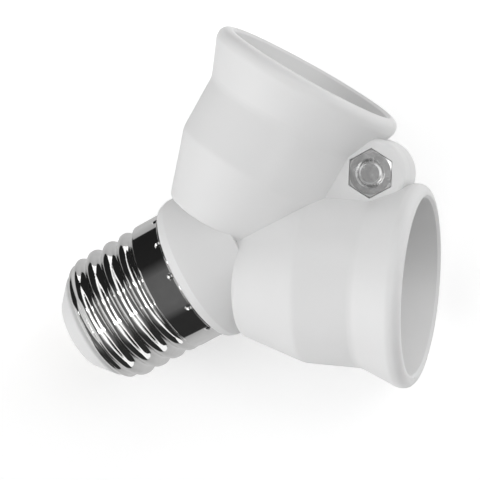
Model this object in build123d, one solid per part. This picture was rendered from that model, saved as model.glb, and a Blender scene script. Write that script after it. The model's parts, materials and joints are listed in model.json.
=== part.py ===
from build123d import *
import os
from math import asin, cos, degrees, pi, radians, sin, sqrt, tan

# Lamp socket splitter: one screw cap feeds two screw sockets in a fork of two moulded half shells.
# Sizes are in millimetres. The fork is drawn about its apex, where the two socket axes meet the
# cap's axis: +X runs from the cap to the fork, Y across the two cups, Z normal to the parting plane.
# A station is a distance from the apex, along the cap's axis or along a cup's own axis.

# Fork and cups
half_angle = 31.7          # each cup's axis from the cap's axis, degrees
mouth_station = 43.6       # rim plane of a cup
mouth_flare = 3.0          # outside of the rim, beyond the barrel
rim_width = 2.6            # from there to the inside of the mouth
rim_round = 1.8            # outer edge of the rim
rim_inner_round = 0.5
flare_rise = 0.6           # of the rim's round, the flare's steepest end
flare_station = 33.8       # barrel ends, flare begins
taper_station = 22.6       # barrel ends, taper begins
taper_angle = 17.7         # side of the taper, degrees
foot_station = 9.6         # small end of a cup
foot_round = 1.3
crease_round = 4.0         # soft turns from taper to barrel and from barrel to flare
wall = 2.05                # moulded wall, measured across a cup's axis

# Neck that joins the cups to the cap
neck_station = -1.3        # edge of the moulding beside the cap's lip
neck_overhang = 0.9        # of that edge beyond the collar
neck_bulge = 0.55          # of the crown beyond that edge
neck_crown_station = 0.5   # widest place of the neck
neck_crown_curve = 23.2    # radius of the dome between the cups
neck_edge_round = 0.6
spigot_length = 5.7        # reaches into the cap's collar
spigot_wall = 2.45
cap_clearance = 0.05       # spigot in the collar

# Clamp lug between the cups
bolt_station = 39.4
lug_radius = 6.6
lug_thickness = 10.8
lug_round = 0.9

# Hairline where the half shells meet
seam_width = 0.14
seam_depth = 0.2

# Clamp screw and nut
bolt_diameter = 4.8
bolt_hole_clearance = 0.25
bolt_head_radius = 4.5
bolt_head_height = 2.9
bolt_length = 8.0
bolt_point = 0.6           # chamfer of its end
head_edge_share = 0.45     # of the head's height, its rounded edge
head_sink = 0.1            # head below the lug's face
head_recess_clearance = 0.25
cross_width = 1.0
cross_span = 4.8
cross_depth = 1.5
nut_across_flats = 8.0
nut_height = 4.0
nut_clearance = 0.12
nut_bore_clearance = 0.05
nut_crown_rise = 0.55      # rise of the corner chamfers over their run
nut_bore_chamfer = 0.35

# Screw thread, as on a 27 mm lamp cap: tangent arcs for crests and roots
pitch = 3.629
thread_depth = 1.1
thread_arc = 1.025
cap_radius = 13.2          # crest of the cap's thread, and its collar
socket_thread_radius = 13.3  # crest of a socket, inside its sleeve
sections_per_turn = 8
points_per_section = 18
end_step = 0.05            # a thread stops this much below its plain collar

# Screw cap
collar_length = 5.9
lip_round = 0.26           # rolled bead at the collar's edge
lip_rise = 0.25
cap_sheet = 0.3
cap_shell_station = -23.2  # turned-in end of the shell
shoulder_step = 0.8        # shoulder below the crest
cap_mouth_lip = 1.5        # turned-in end around the insulator
shoulder_length = 0.8      # plain, past the thread's run-out
shoulder_round = 0.7
cap_run_out = 1.8          # the thread fades in and out over these lengths
cap_run_in = 1.3
thread_phase = -10.75      # a crest, on the side of the left cup
lip_gap = 0.1
dimple_count = 12
dimple_station = -2.3
dimple_radius = 0.8
dimple_offset = 0.45       # centre of the punch outside the collar
insulator_taper = 3.7
insulator_length = 5.0
insulator_flange = 1.2
insulator_rim = 1.1        # plain edge beside the shell
insulator_seat = 0.35      # flange inside the shell, below its plain edge
insulator_nose_round = 1.6
insulator_rim_round = 0.8
shell_clearance = 0.05     # insulator to the turned-in end
contact_radius = 4.3
contact_height = 0.8
contact_stem_radius = 1.9
contact_stem_length = 6.0
stem_clearance = 0.1

# Socket sleeves
sleeve_sheet = 0.4
sleeve_station = 23.4      # bottom of the sleeve
sleeve_top_station = 33.9
entry_step = 0.15          # plain entry above the thread, beyond its crest
entry_length = 2.0
bore_clearance = 0.5       # around the entry
flange_seat = 0.35         # of the top flange in its groove
flange_clearance = 0.15
bottom_lip = 0.5           # of the bottom flange over the bowl
sleeve_run = 0.35          # share of the pitch in which the thread fades at both ends
tab_half_width = 2.0
tab_slant = 1.2            # sheet across the bowl's slant

# Socket bases
base_floor_station = 13.8  # underside
base_floor_thickness = 1.4
bowl_wall = 1.7            # at its top
bowl_spread = 5.0          # from floor to top
base_clearance = 0.15      # to the housing and to the middle plane
base_to_sleeve = 0.1

# Contact strips and rivets
strip = 0.4                # contact springs
bus = 0.5                  # rigid strips below the bases
rivet_margin = 0.95        # a rivet's head to the side of the bowl
rivet_radius = 0.85
rivet_head_radius = 1.35
rivet_head_height = 0.5
rivet_clearance = 0.06
drill_length = 12.0
spring_gap = 0.3           # around the foot of a contact tongue
tongue_half_width = 2.0
tongue_rise = 1.45         # crown above the foot
tongue_crown = 0.6         # crown past the socket's axis
tongue_tip = 3.0
tongue_tip_drop = 0.4
bridge_half_width = 2.0
lead_half_width = 1.0
neutral_top = -3.4         # the neutral bar passes below the live lead
neutral_bottom = -7.0
neutral_half_width = 1.5
neutral_foot_station = -9.5
neutral_foot_length = 2.6
neutral_gap = 0.12
strip_margin = 0.4         # strip beyond a rivet's head
bend_margin = 0.2          # bend beside a rivet's head
over_cut = 1.0             # cutters reach this far past a face

slope = tan(radians(taper_angle))
entry_radius = socket_thread_radius + entry_step
bore_radius = entry_radius + sleeve_sheet + bore_clearance
barrel_radius = bore_radius + wall
mouth_radius = barrel_radius + mouth_flare
throat_radius = mouth_radius - rim_width
flange_radius = bore_radius + flange_seat
bowl_top_radius = bore_radius - base_clearance - bowl_wall
bowl_floor_radius = bowl_top_radius - bowl_spread
rivet_offset = bowl_floor_radius - rivet_head_radius - rivet_margin  # from the socket's axis
bottom_flange_radius = bowl_top_radius - bottom_lip
neck_edge_radius = cap_radius + neck_overhang
neck_radius = neck_edge_radius + neck_bulge
spigot_radius = cap_radius - cap_sheet - cap_clearance
spigot_bore = spigot_radius - spigot_wall
shoulder_radius = cap_radius - shoulder_step
cap_mouth_radius = shoulder_radius - cap_mouth_lip
floor_top = base_floor_station + base_floor_thickness
bridge_low = base_floor_station - bus
cap_collar_end = neck_station - lip_gap - collar_length
thread_end = cap_shell_station + shoulder_length
contact_end = cap_shell_station - insulator_length - contact_height


def profile(outline, rounds=()):
    """Face inside a closed outline of (station, radius) points, with some corners rounded."""
    face = Polygon(*outline, align=None)
    for corner, radius in rounds:
        nearest = face.vertices().sort_by_distance((corner[0], corner[1], 0))[0]
        face = fillet(nearest, radius)
    return face


def turned(outline, rounds=()):
    """Turns such a profile about X."""
    return revolve(profile(outline, rounds), Axis.X)


def on_cup(shape, side):
    """Puts a shape drawn about X on the left cup's axis (side 1) or on the right cup's (side -1)."""
    return Rot(0, 0, side * half_angle) * shape


def plate(points, low, high):
    """A sheet with the given outline in the parting plane, from height low to height high."""
    return extrude(Pos(0, 0, low) * Polygon(*points, align=None), high - low, dir=(0, 0, 1))


def side_plate(points, half_width):
    """A strip with the given outline in the plane of X and Z, of the given half width."""
    face = Plane.XZ * Polygon(*points, align=None)
    return extrude(face, half_width, both=True)


def thread_wave(turns):
    """Height of the thread below its crest, as a function of turns from the crest."""
    along = abs((turns + 0.5) % 1 - 0.5) * pitch
    if along <= pitch / 4:
        return sqrt(thread_arc**2 - along**2) - thread_arc
    return thread_arc - sqrt(thread_arc**2 - (pitch / 2 - along) ** 2) - thread_depth


def blend(value, start, end):
    """Rises smoothly from 0 at start to 1 at end."""
    share = min(max((value - start) / (end - start), 0), 1)
    return share * share * (3 - 2 * share)


def thread_section(station, phase, radius):
    """Outline of a right-hand thread at a station; radius(station) gives its crest and its share."""
    crest, share = radius(station)
    points = []
    for step in range(points_per_section):
        angle = 2 * pi * step / points_per_section
        turns = (station - phase) / pitch - step / points_per_section
        reach = crest + share * thread_wave(turns)
        points.append(Vector(station, reach * cos(angle), reach * sin(angle)))
    return Wire([Edge.make_spline(points, periodic=True)])


def threaded_tube(start, end, phase, radius, sheet):
    """Threaded sheet-metal tube along X: radius(station) is its inside, and sheet its thickness."""
    count = round((end - start) / pitch * sections_per_turn)
    skins = []
    mouths = []
    for extra in (0, sheet):
        sections = []
        for number in range(count + 1):
            station = start + (end - start) * number / count
            crest, share = radius(station)
            sections.append(thread_section(station, phase, lambda _: (crest + extra, share)))
        tube = loft([Face(section) for section in sections])
        skins += tube.faces().filter_by(GeomType.PLANE, reverse=True)
        mouths.append((sections[0], sections[-1]))
    ends = [Face(outer, [inner]) for inner, outer in zip(*mouths)]
    return Solid(Shell([*skins, *ends]))


def cup_taper(station):
    """Outside radius of a cup's taper."""
    return barrel_radius - (taper_station - station) * slope


def cup_profile():
    """Half outline of one cup: rounded foot, taper, barrel and flared mouth."""
    rim_foot = mouth_station - 2 * rim_round
    outline = [
        (foot_station, 0),
        (foot_station, cup_taper(foot_station)),
        (taper_station, barrel_radius),
        (flare_station, barrel_radius),
        (rim_foot + rim_round * flare_rise, mouth_radius),
        (mouth_station, mouth_radius),
        (mouth_station, 0),
    ]
    rounds = [
        (outline[1], foot_round),
        (outline[2], crease_round),
        (outline[3], crease_round),
        (outline[4], rim_round),
        (outline[5], rim_round),
    ]
    return profile(outline, rounds)


def cup_cavity():
    """Inside of one cup, with the groove that traps the sleeve's flange."""
    groove_low = sleeve_top_station - sleeve_sheet - flange_clearance
    groove_high = sleeve_top_station + flange_clearance
    groove_radius = flange_radius + flange_clearance
    floor_station = foot_station + wall
    lip = rim_inner_round
    outline = [
        (floor_station, 0),
        (floor_station, cup_taper(floor_station) - wall),
        (taper_station, bore_radius),
        (groove_low, bore_radius),
        (groove_low, groove_radius),
        (groove_high, groove_radius),
        (groove_high, bore_radius),
        (flare_station + wall / 2, bore_radius),
        (mouth_station - lip, throat_radius),
        (mouth_station, throat_radius + lip),
        (mouth_station + over_cut, throat_radius + lip),
        (mouth_station + over_cut, 0),
    ]
    return turned(outline)


def neck_profile():
    """Half outline of the neck: a rounded edge beside the cap, a dome that runs up between the cups."""
    dome_end = foot_station + wall
    drop = neck_crown_curve - sqrt(neck_crown_curve**2 - (dome_end - neck_crown_station) ** 2)
    middle = (dome_end + neck_crown_station) / 2
    sag = neck_crown_curve - sqrt(neck_crown_curve**2 - (middle - neck_crown_station) ** 2)
    edge = Polyline(
        (dome_end, 0),
        (neck_station, 0),
        (neck_station, neck_edge_radius),
        (neck_crown_station, neck_radius),
    )
    crown = ThreePointArc(
        (neck_crown_station, neck_radius),
        (middle, neck_radius - sag),
        (dome_end, neck_radius - drop),
    )
    end = Line((dome_end, neck_radius - drop), (dome_end, 0))
    face = make_face(edge + crown + end)
    corner = face.vertices().sort_by_distance((neck_station, neck_edge_radius, 0))[0]
    return fillet(corner, neck_edge_round)


def spigot_profile():
    """Half outline of the spigot that fills the cap's collar."""
    spigot_end = neck_station - spigot_length
    return profile([
        (spigot_end, 0),
        (spigot_end, spigot_radius),
        (neck_station + over_cut, spigot_radius),
        (neck_station + over_cut, 0),
    ])


def neck_cavity():
    """Hollow of the spigot and the neck, open into both cups."""
    return turned([
        (neck_station - spigot_length - over_cut, 0),
        (neck_station - spigot_length - over_cut, spigot_bore),
        (foot_station, spigot_bore),
        (foot_station + 2 * wall, spigot_bore - wall),
        (foot_station + 2 * wall, 0),
    ])


def lug_outline():
    """Outline of the clamp lug: a round boss on a web that fills the crotch between the cups."""
    boss = Pos(bolt_station, 0) * Circle(lug_radius)
    web_root = taper_station / cos(radians(half_angle))
    web = Pos((web_root + bolt_station) / 2, 0) * Rectangle(bolt_station - web_root, 2 * lug_radius)
    return boss + web


def dimple_spots(radius, offset):
    """Balls at the stakes around the cap's collar."""
    spots = []
    for number in range(dimple_count):
        angle = 360 * number / dimple_count
        place = Rot(angle, 0, 0) * Pos(dimple_station, 0, cap_radius + offset)
        spots.append(place * Sphere(radius))
    return spots


def seam():
    """Cutter for the hairline around the body: all that lies outside its outline, less a little."""
    outline = lug_outline()
    for half in (neck_profile(), spigot_profile()):
        outline += half + mirror(half, Plane.XZ)
    cup = cup_profile() + mirror(cup_profile(), Plane.XZ)
    for side in (1, -1):
        outline += on_cup(cup, side)
    surround = Rectangle(4 * mouth_station, 4 * mouth_station)
    return extrude(surround - offset(outline, -seam_depth), seam_width / 2, both=True)


def housing_halves():
    """The moulded body, cut along the parting plane into its two half shells."""
    lug = extrude(Pos(0, 0, -lug_thickness / 2) * lug_outline(), lug_thickness)
    body = fillet(lug.edges().filter_by(Plane.XY), lug_round)
    body += revolve(neck_profile(), Axis.X) + revolve(spigot_profile(), Axis.X)
    for side in (1, -1):
        body += on_cup(revolve(cup_profile(), Axis.X), side)
    body -= seam()
    body -= neck_cavity()
    for side in (1, -1):
        body -= on_cup(cup_cavity(), side)
    for pit in dimple_spots(dimple_radius + cap_sheet + cap_clearance, dimple_offset):
        body -= pit
    hole_radius = bolt_diameter / 2 + bolt_hole_clearance
    body -= Pos(bolt_station, 0, 0) * Cylinder(hole_radius, 2 * lug_thickness)
    top = split(body, bisect_by=Plane.XY, keep=Keep.TOP)
    bottom = split(body, bisect_by=Plane.XY, keep=Keep.BOTTOM)
    pocket = RegularPolygon(nut_radius(nut_clearance), 6, major_radius=True)
    nut_seat = lug_thickness / 2 - nut_height
    top -= extrude(Pos(bolt_station, 0, nut_seat) * pocket, nut_height + over_cut)
    recess_depth = bolt_head_height + head_sink
    recess_radius = bolt_head_radius + head_recess_clearance
    recess = Cylinder(recess_radius, recess_depth, align=(Align.CENTER, Align.CENTER, Align.MIN))
    bottom -= Pos(bolt_station, 0, -lug_thickness / 2) * recess
    return top, bottom


def nut_radius(clearance):
    """Corner radius of the nut, or of its pocket."""
    return (nut_across_flats + 2 * clearance) / sqrt(3)


def clamp_nut():
    """Hexagon nut with chamfered corners and a countersunk bore, flush with the lug's face."""
    hexagon = RegularPolygon(nut_radius(0), 6, major_radius=True)
    nut = extrude(hexagon, nut_height)
    chamfer_run = nut_radius(0) - nut_across_flats / 2
    crown = Cylinder(nut_radius(0), nut_height, align=(Align.CENTER, Align.CENTER, Align.MIN))
    nut = nut & chamfer(crown.edges(), chamfer_run * nut_crown_rise, chamfer_run)
    bore_size = bolt_diameter / 2 + nut_bore_clearance
    nut -= Cylinder(bore_size, 3 * nut_height)
    bore_edges = nut.edges().filter_by(GeomType.CIRCLE).filter_by(lambda e: e.radius < bore_size + 0.01)
    nut = chamfer(bore_edges, nut_bore_chamfer)
    return Pos(bolt_station, 0, lug_thickness / 2 - nut_height) * nut


def clamp_bolt():
    """Pan-head machine screw with a cross recess; its chamfered end stands in the nut."""
    seat = -lug_thickness / 2 + bolt_head_height + head_sink
    head = turned(
        [
            (0, 0),
            (0, bolt_head_radius),
            (-bolt_head_height, bolt_head_radius),
            (-bolt_head_height, 0),
        ],
        [((-bolt_head_height, bolt_head_radius), bolt_head_height * head_edge_share)],
    )
    shank = turned(
        [
            (-bolt_point, 0),
            (-bolt_point, bolt_diameter / 2),
            (bolt_length - bolt_point, bolt_diameter / 2),
            (bolt_length, bolt_diameter / 2 - bolt_point),
            (bolt_length, 0),
        ]
    )
    cross_low = -bolt_head_height - over_cut
    cross_length = cross_depth + over_cut
    bar = Box(cross_length, cross_span, cross_width, align=(Align.MIN, Align.CENTER, Align.CENTER))
    screw = head + shank - Pos(cross_low, 0, 0) * (bar + Rot(90, 0, 0) * bar)
    return Pos(bolt_station, 0, seat) * Rot(0, -90, 0) * screw


def cap_outline(station):
    """Crest radius and thread share along the cap, with its run-outs at both ends."""
    run_out = blend(station, thread_end, thread_end + cap_run_out)
    run_in = 1 - blend(station, cap_collar_end - cap_run_in, cap_collar_end)
    crest = shoulder_radius - end_step + (cap_radius - shoulder_radius + end_step) * run_out
    return crest - end_step * (1 - run_in), run_out * run_in


def cap_shell():
    """Rolled sheet-metal screw shell, staked on the spigot through its collar."""

    def inside(station):
        crest, share = cap_outline(station)
        return crest - cap_sheet, share

    rim = neck_station - lip_gap
    collar = turned([
        (cap_collar_end, cap_radius - cap_sheet),
        (cap_collar_end, cap_radius),
        (rim, cap_radius),
        (rim, cap_radius - cap_sheet),
    ])
    bead = Pos(rim - lip_round, cap_radius + lip_rise - lip_round) * Circle(lip_round)
    collar += revolve(bead, Axis.X)
    punches = dimple_spots(dimple_radius, dimple_offset)
    bulges = dimple_spots(dimple_radius + cap_sheet, dimple_offset)
    hollow = turned([
        (cap_collar_end, 0),
        (cap_collar_end, cap_radius - cap_sheet / 2),
        (rim, cap_radius - cap_sheet / 2),
        (rim, 0),
    ])
    for punch, bulge in zip(punches, bulges):
        collar = collar + (bulge & hollow) - punch
    end = cap_shell_station
    turned_in = [(end, shoulder_radius), (end + cap_sheet, shoulder_radius - cap_sheet)]
    shoulder = turned(
        [
            (thread_end, shoulder_radius),
            turned_in[0],
            (end, cap_mouth_radius),
            (end + cap_sheet, cap_mouth_radius),
            turned_in[1],
            (thread_end, shoulder_radius - cap_sheet),
        ],
        [(turned_in[0], shoulder_round), (turned_in[1], shoulder_round - cap_sheet)],
    )
    tube = threaded_tube(thread_end, cap_collar_end, thread_phase, inside, cap_sheet)
    return tube + collar + shoulder


def cap_insulator():
    """Moulded insulator cone that closes the shell and carries the tip contact."""
    neck_radius_in = cap_mouth_radius - stem_clearance
    shoulder = cap_mouth_radius + cap_sheet
    nose = cap_shell_station - insulator_length
    inside = cap_shell_station + cap_sheet + shell_clearance
    outline = [
        (nose, contact_stem_radius + stem_clearance),
        (nose, cap_mouth_radius - insulator_taper),
        (cap_shell_station - insulator_rim, shoulder),
        (cap_shell_station - shell_clearance, shoulder),
        (cap_shell_station - shell_clearance, neck_radius_in),
        (inside, neck_radius_in),
        (inside, shoulder - insulator_seat),
        (inside + insulator_flange, shoulder - insulator_seat),
        (inside + insulator_flange, contact_stem_radius + stem_clearance),
    ]
    return turned(outline, [(outline[1], insulator_nose_round), (outline[2], insulator_rim_round)])


def cap_contact():
    """Tip contact: a domed disc on a stem through the insulator."""
    nose = cap_shell_station - insulator_length
    stem_top = nose + contact_stem_length
    outline = [
        (contact_end, 0),
        (contact_end, contact_radius),
        (nose, contact_radius),
        (nose, contact_stem_radius),
        (stem_top, contact_stem_radius),
        (stem_top, 0),
    ]
    return turned(outline, [(outline[1], contact_height * 0.7)])


def socket_sleeve():
    """Threaded sleeve with a trapped top flange, and the tab that runs down to its rivet."""
    thread_low = sleeve_station + sleeve_sheet
    thread_high = sleeve_top_station - entry_length
    run = pitch * sleeve_run

    def inside(station):
        low_run = blend(station, thread_low, thread_low + run)
        high_run = 1 - blend(station, thread_high - run, thread_high)
        return socket_thread_radius, low_run * high_run

    entry = turned([
        (thread_high, entry_radius),
        (sleeve_top_station, entry_radius),
        (sleeve_top_station, flange_radius),
        (sleeve_top_station - sleeve_sheet, flange_radius),
        (sleeve_top_station - sleeve_sheet, entry_radius + sleeve_sheet),
        (thread_high, entry_radius + sleeve_sheet),
    ])
    bottom = turned([
        (sleeve_station, bottom_flange_radius),
        (sleeve_station, entry_radius + sleeve_sheet),
        (thread_low, entry_radius + sleeve_sheet),
        (thread_low, bottom_flange_radius),
    ])
    tube = threaded_tube(thread_low, thread_high, thread_high, inside, sleeve_sheet)
    return tube + entry + bottom + sleeve_tab()


def sleeve_tab():
    """Tab bent down inside the bowl from the sleeve's bottom flange, with its rivet hole."""
    low = sqrt(bowl_floor_radius**2 - tab_half_width**2) - base_to_sleeve
    high = sqrt(bowl_top_radius**2 - tab_half_width**2) - base_to_sleeve
    inner = rivet_offset - rivet_head_radius
    line = [
        (floor_top, inner),
        (floor_top, low),
        (sleeve_station, high),
        (sleeve_station + sleeve_sheet, high),
        (sleeve_station + sleeve_sheet, high - sleeve_sheet * tab_slant),
        (floor_top + sleeve_sheet, low - sleeve_sheet * tab_slant),
        (floor_top + sleeve_sheet, inner),
    ]
    tab = plate(line, -tab_half_width, tab_half_width)
    return tab - rivet_hole(rivet_offset)


def rivet_hole(offset, clearance=rivet_clearance):
    """Hole along X through whatever a rivet joins."""
    hole = Cylinder(rivet_radius + clearance, drill_length)
    return Pos(base_floor_station, offset, 0) * Rot(0, 90, 0) * hole


def rivet(side, offset, seat):
    """Rivet from the underside of the bus strip to the seat of its head."""
    tail = bridge_low - rivet_head_height
    shape = turned([
        (tail, 0),
        (tail, rivet_head_radius),
        (bridge_low, rivet_head_radius),
        (bridge_low, rivet_radius),
        (seat, rivet_radius),
        (seat, rivet_head_radius),
        (seat + rivet_head_height, rivet_head_radius * 0.7),
        (seat + rivet_head_height, 0),
    ])
    return on_cup(Pos(0, side * offset, 0) * shape, side)


def socket_base(side):
    """Moulded bowl below a sleeve, flattened where the two bases meet."""
    top = sleeve_station - base_to_sleeve
    outline = [
        (base_floor_station, 0),
        (base_floor_station, cup_taper(base_floor_station) - wall - base_clearance),
        (taper_station, bore_radius - base_clearance),
        (top, bore_radius - base_clearance),
        (top, bowl_top_radius),
        (floor_top, bowl_floor_radius),
        (floor_top, 0),
    ]
    base = turned(outline)
    for offset in (rivet_offset, -rivet_offset):
        base -= rivet_hole(side * offset)
    base = on_cup(base, side)
    reach = 3 * mouth_radius
    own_side = Pos(0, side * (reach / 2 + base_clearance), 0) * Box(2 * reach, reach, reach)
    return base & own_side


def contact_tongue(side):
    """Centre contact: a bent leaf on its rivet, crowned under the lamp's tip."""
    foot = floor_top + spring_gap
    heel = -rivet_offset - rivet_head_radius
    bend = -rivet_offset + rivet_head_radius
    low = [
        (foot, heel),
        (foot, bend),
        (foot + tongue_rise, tongue_crown),
        (foot + tongue_rise - tongue_tip_drop, tongue_tip),
    ]
    high = [(x + strip, y) for x, y in reversed(low)]
    leaf = plate([(x, side * y) for x, y in low + high], -tongue_half_width, tongue_half_width)
    leaf -= rivet_hole(-side * rivet_offset, spring_gap)
    return on_cup(leaf, side)


def strip_line(offset, level):
    """Point of the left cup's plane at a level along its axis, offset outward from the axis."""
    angle = radians(half_angle)
    return (level * cos(angle) - offset * sin(angle), level * sin(angle) + offset * cos(angle))


def live_bridge():
    """Bent strip under both bases that joins the two centre contacts."""
    outer = -rivet_offset + rivet_head_radius + strip_margin
    ridge_high = base_floor_station / cos(radians(half_angle))
    ridge_low = bridge_low / cos(radians(half_angle))
    left = [strip_line(outer, base_floor_station), strip_line(outer, bridge_low)]
    right = [(x, -y) for x, y in reversed(left)]
    outline = [(ridge_high, 0), *left, (ridge_low, 0), *right]
    bridge = plate(outline, -bridge_half_width, bridge_half_width)
    for side in (1, -1):
        bridge -= on_cup(rivet_hole(-side * rivet_offset), side)
    return bridge


def live_lead():
    """Strip along the axis from the live bridge to the stem of the tip contact."""
    angle = radians(half_angle)
    stem_top = cap_shell_station - insulator_length + contact_stem_length
    shoulder = (bridge_low - lead_half_width * sin(angle)) / cos(angle)
    outline = [
        (stem_top, -lead_half_width),
        (shoulder, -lead_half_width),
        (bridge_low / cos(angle), 0),
        (shoulder, lead_half_width),
        (stem_top, lead_half_width),
    ]
    return plate(outline, -bus / 2, bus / 2)


def neutral_bridge():
    """Bent bar that joins the two sleeve tabs, past the live lead."""
    near = rivet_offset - rivet_head_radius - bend_margin
    far = rivet_offset + rivet_head_radius + strip_margin
    bend = strip_line(near, base_floor_station)
    under_bend = (bend[0] - bus, bend[1] - bus * tan(radians(half_angle / 2)))
    pad = [bend, strip_line(far, base_floor_station), strip_line(far, bridge_low), under_bend]
    bar = [bend, under_bend, (under_bend[0], -under_bend[1]), (bend[0], -bend[1])]
    left_pad = plate(pad, neutral_bottom, rivet_head_radius + strip_margin)
    right_pad = mirror(left_pad, Plane.XZ)
    bridge = plate(bar, neutral_bottom, neutral_top) + left_pad + right_pad
    for side in (1, -1):
        bridge -= on_cup(rivet_hole(side * rivet_offset), side)
    return bridge


def neutral_lead():
    """Strip from the neutral bar down inside the neck, sprung outward against the cap shell."""
    top = strip_line(rivet_offset - rivet_head_radius - bend_margin, base_floor_station)[0] - bus
    level = (neutral_top + neutral_bottom) / 2
    wall_reach = cap_radius - thread_depth - cap_sheet - neutral_gap
    reach = -sqrt(wall_reach**2 - neutral_half_width**2)
    toe = neutral_foot_station - neutral_foot_length
    outline = [
        (top, level),
        (neutral_foot_station, level),
        (neutral_foot_station, reach + bus),
        (toe, reach + bus),
        (toe, reach),
        (neutral_foot_station + bus, reach),
        (neutral_foot_station + bus, level - bus),
        (top, level - bus),
    ]
    return side_plate(outline, neutral_half_width)


def resting_tilt():
    """Tilt at which both rims and the far crest of the cap touch one surface, in degrees."""
    rim_centre = mouth_station - rim_round
    rim_circle = mouth_radius - rim_round
    far_crest = thread_phase - 2.5 * pitch
    crest_radius = cap_outline(far_crest)[0]
    tilt = 0
    for _ in range(30):
        lean = cos(radians(half_angle)) * sin(tilt)
        rise = rim_circle * sqrt(1 - lean**2) + rim_round - crest_radius * cos(tilt)
        tilt = asin(rise / (rim_centre * cos(radians(half_angle)) - far_crest))
    return degrees(tilt)


top_housing, bottom_housing = housing_halves()
pieces = {
    "top_housing": top_housing,
    "bottom_housing": bottom_housing,
    "clamp_bolt": clamp_bolt(),
    "clamp_nut": clamp_nut(),
    "cap_shell": cap_shell(),
    "cap_insulator": cap_insulator(),
    "cap_contact": cap_contact(),
    "live_bridge": live_bridge(),
    "live_lead": live_lead(),
    "neutral_bridge": neutral_bridge(),
    "neutral_lead": neutral_lead(),
}
sleeve = socket_sleeve()
for name, side in (("left", 1), ("right", -1)):
    outward = Rot(0 if side > 0 else 180, 0, 0)
    pieces[name + "_socket_sleeve"] = on_cup(outward * sleeve, side)
    pieces[name + "_socket_base"] = socket_base(side)
    pieces[name + "_contact_tongue"] = contact_tongue(side)
    pieces[name + "_tongue_rivet"] = rivet(side, -rivet_offset, floor_top + strip + 2 * spring_gap)
    pieces[name + "_sleeve_rivet"] = rivet(side, rivet_offset, floor_top + sleeve_sheet)

# At rest the splitter lies on the two rims and the cap, with the nut upward.
tilt = resting_tilt()
resting = {name: Rot(0, -tilt, 0) * piece for name, piece in pieces.items()}
box = Compound(list(resting.values())).bounding_box()
shift = Pos(-(box.min.X + box.max.X) / 2, -(box.min.Y + box.max.Y) / 2, -box.min.Z)
print("tilt", round(tilt, 4), "shift", tuple(round(v, 4) for v in shift.position))
os.makedirs("parts", exist_ok=True)
for name, piece in resting.items():
    export_step(shift * piece, "parts/" + name + ".step")
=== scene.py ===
import json
from math import cos, radians, sin

import bpy
from mathutils import Matrix, Vector

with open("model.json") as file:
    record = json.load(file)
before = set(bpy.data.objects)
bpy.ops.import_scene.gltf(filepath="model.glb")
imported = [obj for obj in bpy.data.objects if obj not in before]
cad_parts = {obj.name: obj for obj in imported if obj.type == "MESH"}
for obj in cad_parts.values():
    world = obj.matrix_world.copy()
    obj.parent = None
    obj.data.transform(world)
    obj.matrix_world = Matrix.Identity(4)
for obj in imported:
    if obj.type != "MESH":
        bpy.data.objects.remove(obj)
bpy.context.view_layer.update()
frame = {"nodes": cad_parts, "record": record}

# The cap's axis, toward the fork, and its middle, both from the frame. Metres.
mounts = {mount["name"]: mount for mount in frame["record"]["mounts"]}
cap_axis = -Vector(mounts["cap_collar"]["axis"])
cap_centre = Vector(mounts["cap_collar"]["pos_m"])

# Camera, as in the photo: where it stands from the point it looks at. Metres and degrees.
view_target = Vector((0.00036, 0.00153, 0.01406))
view_azimuth = -33.985
view_elevation = 78.753
view_roll = -83.242
view_distance = 0.40025
view_near_clip = 0.01
lens_mm = 154.27
sensor_mm = 36


def direction(azimuth, elevation):
    """Unit vector of a direction in the frame, in degrees."""
    azimuth, elevation = radians(azimuth), radians(elevation)
    return Vector((cos(elevation) * cos(azimuth), cos(elevation) * sin(azimuth), sin(elevation)))


def camera_frame():
    """Right, up and back directions of the camera."""
    roll = radians(view_roll)
    back = direction(view_azimuth, view_elevation)
    level = Vector((0, 0, 1)).cross(back).normalized()
    upright = back.cross(level)
    right = level * cos(roll) + upright * sin(roll)
    return right, back.cross(right), back


view_right, view_up, view_back = camera_frame()


def placed(place, *directions):
    """Matrix of an object at a place, with its three axes along the given directions."""
    return Matrix.Translation(place) @ Matrix(directions).transposed().to_4x4()


def add_camera():
    data = bpy.data.cameras.new("camera")
    data.lens = lens_mm
    data.sensor_width = sensor_mm
    data.clip_start = view_near_clip
    camera = bpy.data.objects.new("camera", data)
    bpy.context.scene.collection.objects.link(camera)
    place = view_target + view_back * view_distance
    camera.matrix_world = placed(place, view_right, view_up, view_back)
    bpy.context.scene.camera = camera


# Finishes
noise_range = (0.3, 0.7)      # where most of a noise's values lie
noise_roughness = 0.55


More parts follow.
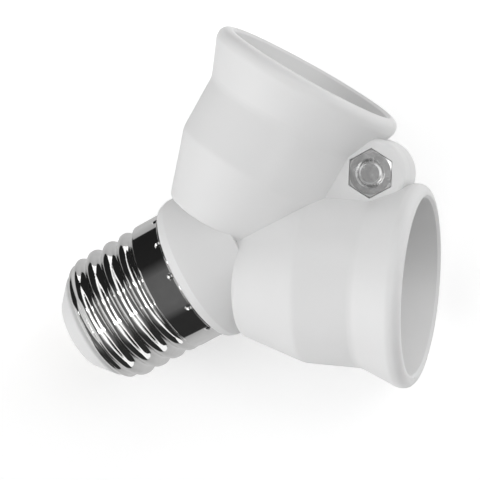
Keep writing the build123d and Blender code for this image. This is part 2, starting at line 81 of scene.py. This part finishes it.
class Shader:
    """A material's node tree, with short names for the nodes used here."""

    def __init__(self, name):
        self.material = bpy.data.materials.new(name)
        self.material.use_nodes = True
        self.nodes = self.material.node_tree.nodes
        self.links = self.material.node_tree.links
        self.surface = self.nodes["Principled BSDF"]
        self.place = self.nodes.new("ShaderNodeTexCoord").outputs["Object"]

    def set(self, **values):
        """Fixed values of the surface, by input name with _ for a space."""
        for name, value in values.items():
            self.surface.inputs[name.replace("_", " ")].default_value = value

    def link(self, output, name):
        self.links.new(output, self.surface.inputs[name])

    def noise(self, scale, detail=3, place=None):
        node = self.nodes.new("ShaderNodeTexNoise")
        node.inputs["Scale"].default_value = scale
        node.inputs["Detail"].default_value = detail
        node.inputs["Roughness"].default_value = noise_roughness
        self.links.new(place or self.place, node.inputs["Vector"])
        return node.outputs["Fac"]

    def span(self, noise, low, high):
        """Numbers from low to high over the range of a noise."""
        node = self.nodes.new("ShaderNodeMapRange")
        self.links.new(noise, node.inputs["Value"])
        node.inputs["From Min"].default_value, node.inputs["From Max"].default_value = noise_range
        node.inputs["To Min"].default_value = low
        node.inputs["To Max"].default_value = high
        return node.outputs["Result"]

    def blend(self, noise, low, high):
        """Colours from low to high over the range of a noise."""
        node = self.nodes.new("ShaderNodeValToRGB")
        self.links.new(noise, node.inputs["Fac"])
        for stop, position, colour in zip(node.color_ramp.elements, noise_range, (low, high)):
            stop.position = position
            stop.color = (*colour, 1)
        return node.outputs["Color"]

    def multiply(self, first, second):
        node = self.nodes.new("ShaderNodeMix")
        node.data_type = "RGBA"
        node.blend_type = "MULTIPLY"
        node.inputs["Factor"].default_value = 1
        self.links.new(first, node.inputs["A"])
        self.links.new(second, node.inputs["B"])
        return node.outputs["Result"]

    def bump(self, height, strength, distance, under=None):
        node = self.nodes.new("ShaderNodeBump")
        node.inputs["Strength"].default_value = strength
        node.inputs["Distance"].default_value = distance
        self.links.new(height, node.inputs["Height"])
        if under:
            self.links.new(under, node.inputs["Normal"])
        return node.outputs["Normal"]

    def squeezed(self, axis, factor):
        """Object coordinates that run faster by a factor along an axis."""
        node = self.nodes.new("ShaderNodeMapping")
        turn = axis.rotation_difference(Vector((0, 0, 1)))
        node.inputs["Rotation"].default_value = turn.to_euler()
        node.inputs["Scale"].default_value = (1, 1, factor)
        self.links.new(self.place, node.inputs["Vector"])
        return node.outputs["Vector"]


def grey(value, warmth=0.0):
    return (value + warmth, value, value - warmth)


def moulded_plastic(name, shade, roughness, warmth=0.0):
    """Satin moulding: faint flow marks in the colour, a fine grain in gloss and relief."""
    shader = Shader(name)
    flow = shader.noise(scale=60, detail=4)
    grain = shader.noise(scale=2600)
    colour = shader.blend(flow, grey(shade * 0.985, warmth), grey(shade * 1.01, warmth))
    shader.link(colour, "Base Color")
    shader.link(shader.span(grain, roughness - 0.05, roughness + 0.05), "Roughness")
    relief = shader.bump(grain, strength=0.12, distance=0.00002)
    shader.link(shader.bump(flow, strength=0.05, distance=0.0002, under=relief), "Normal")
    shader.set(IOR=1.5, Specular_IOR_Level=0.45)
    shader.set(Subsurface_Weight=0.06, Subsurface_Scale=0.0012, Subsurface_Radius=(1, 0.9, 0.85))
    return shader.material


def bright_plating(name):
    """Nickel plating on rolled sheet: mirror-like, with hair lines around the cap's axis."""
    shader = Shader(name)
    cloud = shader.noise(scale=400)
    lines = shader.noise(scale=900, detail=2, place=shader.squeezed(cap_axis, factor=12))
    shader.link(shader.blend(cloud, grey(0.84, 0.004), grey(0.9, 0.003)), "Base Color")
    shader.link(shader.span(lines, 0.04, 0.09), "Roughness")
    shader.link(shader.bump(lines, strength=0.01, distance=0.000001), "Normal")
    shader.set(Metallic=1.0)
    return shader.material


def zinc_plating(name):
    """Zinc on steel: dull bright, with a faint spangle and darker streaks."""
    shader = Shader(name)
    spangle = shader.noise(scale=900)
    drawn = shader.noise(scale=500, place=shader.squeezed(cap_axis, factor=5))
    base = shader.blend(spangle, grey(0.68, 0.003), grey(0.76, -0.002))
    streaks = shader.blend(drawn, grey(0.8), grey(1))
    shader.link(shader.multiply(base, streaks), "Base Color")
    shader.link(shader.span(spangle, 0.2, 0.28), "Roughness")
    shader.link(shader.bump(drawn, strength=0.03, distance=0.00001), "Normal")
    shader.set(Metallic=1.0)
    return shader.material


def rolled_sheet(name, low, high):
    """Plain rolled or stamped sheet metal inside the sockets, stained from one colour to another."""
    shader = Shader(name)
    stain = shader.noise(scale=260, detail=4)
    wear = shader.noise(scale=1800, detail=2)
    shader.link(shader.blend(stain, low, high), "Base Color")
    shader.link(shader.span(wear, 0.26, 0.4), "Roughness")
    shader.link(shader.bump(stain, strength=0.08, distance=0.00003), "Normal")
    shader.set(Metallic=1.0)
    return shader.material


def add_finishes():
    finishes = {
        "housing_plastic": moulded_plastic("housing_plastic", shade=0.75, roughness=0.42),
        "insulator_plastic": moulded_plastic("insulator_plastic", shade=0.67, roughness=0.36),
        "base_plastic": moulded_plastic("base_plastic", shade=0.55, roughness=0.5, warmth=0.01),
        "cap_metal": bright_plating("cap_metal"),
        "zinc_steel": zinc_plating("zinc_steel"),
        "sleeve_metal": rolled_sheet("sleeve_metal", low=grey(0.62), high=grey(0.75)),
        "contact_brass": rolled_sheet(
            "contact_brass", low=(0.62, 0.43, 0.18), high=(0.75, 0.56, 0.28)
        ),
    }
    for part in frame["record"]["subparts"]:
        for slot in frame["nodes"][part["node"]].material_slots:
            slot.material = finishes[part["material_slot"]]


# Studio: a room that is brightest at the cap's end, with a low tent of glowing dark and grey sheets
# that only mirror rays see, painted reflections in the plating.
# Directions are x and z of a unit vector, places are in metres.
floor_side = 6.0
floor_shade = 0.86
floor_mottle = 0.995           # darkest share of the floor's shade
floor_glow_and_painted_shadow = (0.29, 0.45)      # glow below the object in the picture, held low there as painted shadow, and above it
# Along the picture's up direction, in metres: where the glow climbs from its painted-shadow level to
# its full level.
painted_shadow_reach = (-0.035, 0.01)
room_overhead = 0.75
room_cap_end = 2.6
room_fork_end = 1.2
end_fade = (0.35, 0.85)        # |x| over which the ends' light comes in
end_top = (0.55, 0.85)         # z over which it goes out
overhead_fade = (0.6, 0.95)    # z over which the light from overhead comes in

# Tent of painted reflections, in rows along the cap: side and height of a row, four places along the
# cap, their glow tones
skirt_places = (-0.12, -0.09, -0.05, 0.004)
hem_places = (-0.15, -0.09, -0.05, 0.004)
wall_places = (-0.15, -0.09, -0.01, 0.04)
roof_places = (-0.11, -0.07, -0.02, 0.03)
# Skirt rows, grey and just above the floor, paint the shaded floor into the plating's reflections.
skirt_rows = [
    (0.012, 0.0006, skirt_places, (0.62, 0.62, 0.62, 0.5)),
    (0.03, 0.001, skirt_places, (0.55, 0.55, 0.55, 0.5)),
    (0.065, 0.001, hem_places, (0.5, 0.4, 0.4, 0.4)),
]
# Walls and roof: near-black walls paint dark reflections, and the roof paints grey ones that
# brighten toward the fork.
cover_rows = [
    (-0.066, 0.002, wall_places, (0.027, 0.027, 0.027, 0.027)),
    (-0.065, 0.055, wall_places, (0.027, 0.027, 0.027, 0.027)),
    (-0.06, 0.075, (-0.12, -0.07, -0.01, 0.04), (0.1, 0.1, 0.1, 0.3)),
    (-0.045, 0.11, roof_places, (0.11, 0.11, 0.14, 0.8)),
    (0.0, 0.13, roof_places, (0.11, 0.11, 0.14, 0.8)),
    (0.04, 0.125, roof_places, (0.1, 0.1, 0.14, 0.8)),
    (0.055, 0.115, (-0.09, -0.07, -0.01, 0.04), (0.06, 0.06, 0.06, 0.3)),
    (0.065, 0.09, (-0.1, -0.07, -0.01, 0.04), (0.016, 0.016, 0.016, 0.016)),
    (0.066, 0.002, wall_places, (0.014, 0.014, 0.014, 0.014)),
]
reflection_tent_rows = [(-side, *row) for side, *row in skirt_rows] + cover_rows + skirt_rows[::-1]

# Glowing card across the open end of the tent, a painted pale reflection
card_place = -0.17
card_sides = (-0.16, 0.16)
reflection_card_rows = [(0.0, 0.5), (0.06, 0.62), (0.13, 0.72), (0.2, 0.75)]      # height and tone

# Lamps: two softboxes that light the object, and two strips that only show in the plating
softbox_distance = 0.6
softbox_side = 0.3
softboxes = [("fork_side", 0, 50, 0.5), ("left_side", 60, 45, 0.25)]   # azimuth, elevation, power
strip_width = 0.008
strip_length = 0.05
strip_distance = 0.1
strip_power = 0.008
strip_station = 0.025
strips = [("left_strip", 26), ("right_strip", -16)]                    # angle from overhead


def joined(tree, operation, first, second):
    """A math node on two outputs or plain numbers."""
    node = tree.nodes.new("ShaderNodeMath")
    node.operation = operation
    for socket, value in zip(node.inputs, (first, second)):
        if isinstance(value, (int, float)):
            socket.default_value = value
        else:
            tree.links.new(value, socket)
    return node.outputs[0]


def ranged(tree, value, start, end, low, high):
    """A smooth step from low at start to high at end."""
    node = tree.nodes.new("ShaderNodeMapRange")
    node.interpolation_type = "SMOOTHSTEP"
    tree.links.new(value, node.inputs["Value"])
    for name, number in (("From Min", start), ("From Max", end), ("To Min", low), ("To Max", high)):
        node.inputs[name].default_value = number
    return node.outputs["Result"]


def add_world():
    """Light of the room, by direction."""
    world = bpy.data.worlds.new("studio")
    world.use_nodes = True
    tree = world.node_tree
    split = tree.nodes.new("ShaderNodeSeparateXYZ")
    tree.links.new(tree.nodes.new("ShaderNodeTexCoord").outputs["Generated"], split.inputs[0])
    along, _, height = split.outputs
    ends = ranged(tree, joined(tree, "ABSOLUTE", along, 0), *end_fade, 0, 1)
    level = ranged(tree, along, -1, 1, room_cap_end, room_fork_end)
    below_top = ranged(tree, height, *end_top, 1, 0)
    bright = joined(tree, "MULTIPLY", joined(tree, "MULTIPLY", ends, level), below_top)
    overhead = ranged(tree, height, *overhead_fade, 0, room_overhead)
    background = tree.nodes["Background"]
    background.inputs["Color"].default_value = (1, 1, 1, 1)
    tree.links.new(joined(tree, "ADD", bright, overhead), background.inputs["Strength"])
    bpy.context.scene.world = world


def add_floor():
    """White floor that holds the shadow. Camera and mirror rays see it lifted to white, less so
    below the object in the picture, where the weaker glow is a painted shadow.
    """
    bpy.ops.mesh.primitive_plane_add(size=floor_side)
    floor = bpy.context.object
    floor.name = "floor"
    shader = Shader("floor_paper")
    mottle = shader.noise(scale=3, detail=2)
    shade = shader.blend(mottle, grey(floor_shade * floor_mottle), grey(floor_shade))
    shader.link(shade, "Base Color")
    shader.set(Roughness=0.9, Specular_IOR_Level=0.1, Emission_Color=(1, 1, 1, 1))
    tree = shader.material.node_tree
    rays = tree.nodes.new("ShaderNodeLightPath").outputs
    seen = joined(tree, "MAXIMUM", rays["Is Camera Ray"], rays["Is Glossy Ray"])
    seen = joined(tree, "MAXIMUM", seen, rays["Is Transmission Ray"])
    # The glow is weaker below the object in the picture: a painted shadow there.
    up_picture = tree.nodes.new("ShaderNodeVectorMath")
    up_picture.operation = "DOT_PRODUCT"
    tree.links.new(shader.place, up_picture.inputs[0])
    up_picture.inputs[1].default_value = view_up
    glow_with_painted_shadow = ranged(tree, up_picture.outputs["Value"], *painted_shadow_reach, *floor_glow_and_painted_shadow)
    shader.link(joined(tree, "MULTIPLY", seen, glow_with_painted_shadow), "Emission Strength")
    floor.data.materials.append(shader.material)


def add_reflection_sheet(name, rows):
    """Glowing sheet through rows of places and tones, which mirror rays alone see: a painted
    reflection that casts no shadow.
    """
    points = [place for places, _ in rows for place in places]
    tones = [tone for _, row in rows for tone in row]
    width = len(rows[0][0])
    corners = [width * row + place for row in range(len(rows) - 1) for place in range(width - 1)]
    quads = [(i, i + 1, i + width + 1, i + width) for i in corners]
    mesh = bpy.data.meshes.new(name)
    mesh.from_pydata(points, [], quads)
    colours = mesh.color_attributes.new("tone", "FLOAT_COLOR", "POINT")
    for vertex, tone in zip(colours.data, tones):
        vertex.color = (*grey(tone), 1)
    glow_sheet = bpy.data.objects.new(name, mesh)
    bpy.context.scene.collection.objects.link(glow_sheet)
    shader = Shader(name + "_cloth")
    # The sheet is black and its tones glow: dark tones paint dark reflections, pale tones pale ones.
    colour = shader.nodes.new("ShaderNodeAttribute")
    colour.attribute_name = "tone"
    shader.link(colour.outputs["Color"], "Emission Color")
    shader.set(Base_Color=(0, 0, 0, 1), Roughness=1.0, Specular_IOR_Level=0.0)
    shader.set(Emission_Strength=1.0)
    mesh.materials.append(shader.material)
    # Unseen by the camera, by diffuse light and by shadow, so the sheet only paints reflections.
    glow_sheet.visible_camera = False
    glow_sheet.visible_diffuse = False
    glow_sheet.visible_shadow = False


def add_painted_reflections():
    """Painted reflections: a dark tent of glowing sheets over the cap, grey overhead, and a pale
    glowing card across its open end.
    """
    reflection_tent = []
    for side, height, places, tones in reflection_tent_rows:
        reflection_tent.append(([(x, side, height) for x in places], tones))
    add_reflection_sheet("reflection_tent", reflection_tent)
    reflection_card = []
    for height, tone in reflection_card_rows:
        reflection_card.append(([(card_place, side, height) for side in card_sides], (tone, tone)))
    add_reflection_sheet("reflection_card", reflection_card)


def add_lamp(name, place, aim, width, length, power):
    """Rectangular lamp at a place, facing another, its length along the cap."""
    data = bpy.data.lights.new(name, "AREA")
    data.shape = "RECTANGLE"
    data.size = length
    data.size_y = width
    data.energy = power
    lamp = bpy.data.objects.new(name, data)
    bpy.context.scene.collection.objects.link(lamp)
    back = (place - aim).normalized()
    right = (cap_axis - back * cap_axis.dot(back)).normalized()
    lamp.matrix_world = placed(place, right, back.cross(right), back)
    return lamp


def add_softbox(name, azimuth, elevation, power):
    """Square lamp that faces the view target from a direction in the frame."""
    place = view_target + direction(azimuth, elevation) * softbox_distance
    add_lamp(name, place, view_target, softbox_side, softbox_side, power)


def add_strip(name, angle):
    """Narrow lamp along the cap, turned by an angle from overhead, which mirror rays alone see."""
    up = Vector((0, sin(radians(angle)), cos(radians(angle))))
    aim = Vector((strip_station, cap_centre.y, cap_centre.z))
    place = aim + up * strip_distance
    lamp = add_lamp(name, place, aim, strip_width, strip_length, strip_power)
    lamp.visible_diffuse = False


add_camera()
add_finishes()
add_floor()
add_world()
add_painted_reflections()
for softbox in softboxes:
    add_softbox(*softbox)
for strip in strips:
    add_strip(*strip)
bpy.context.scene.view_settings.view_transform = "Standard"
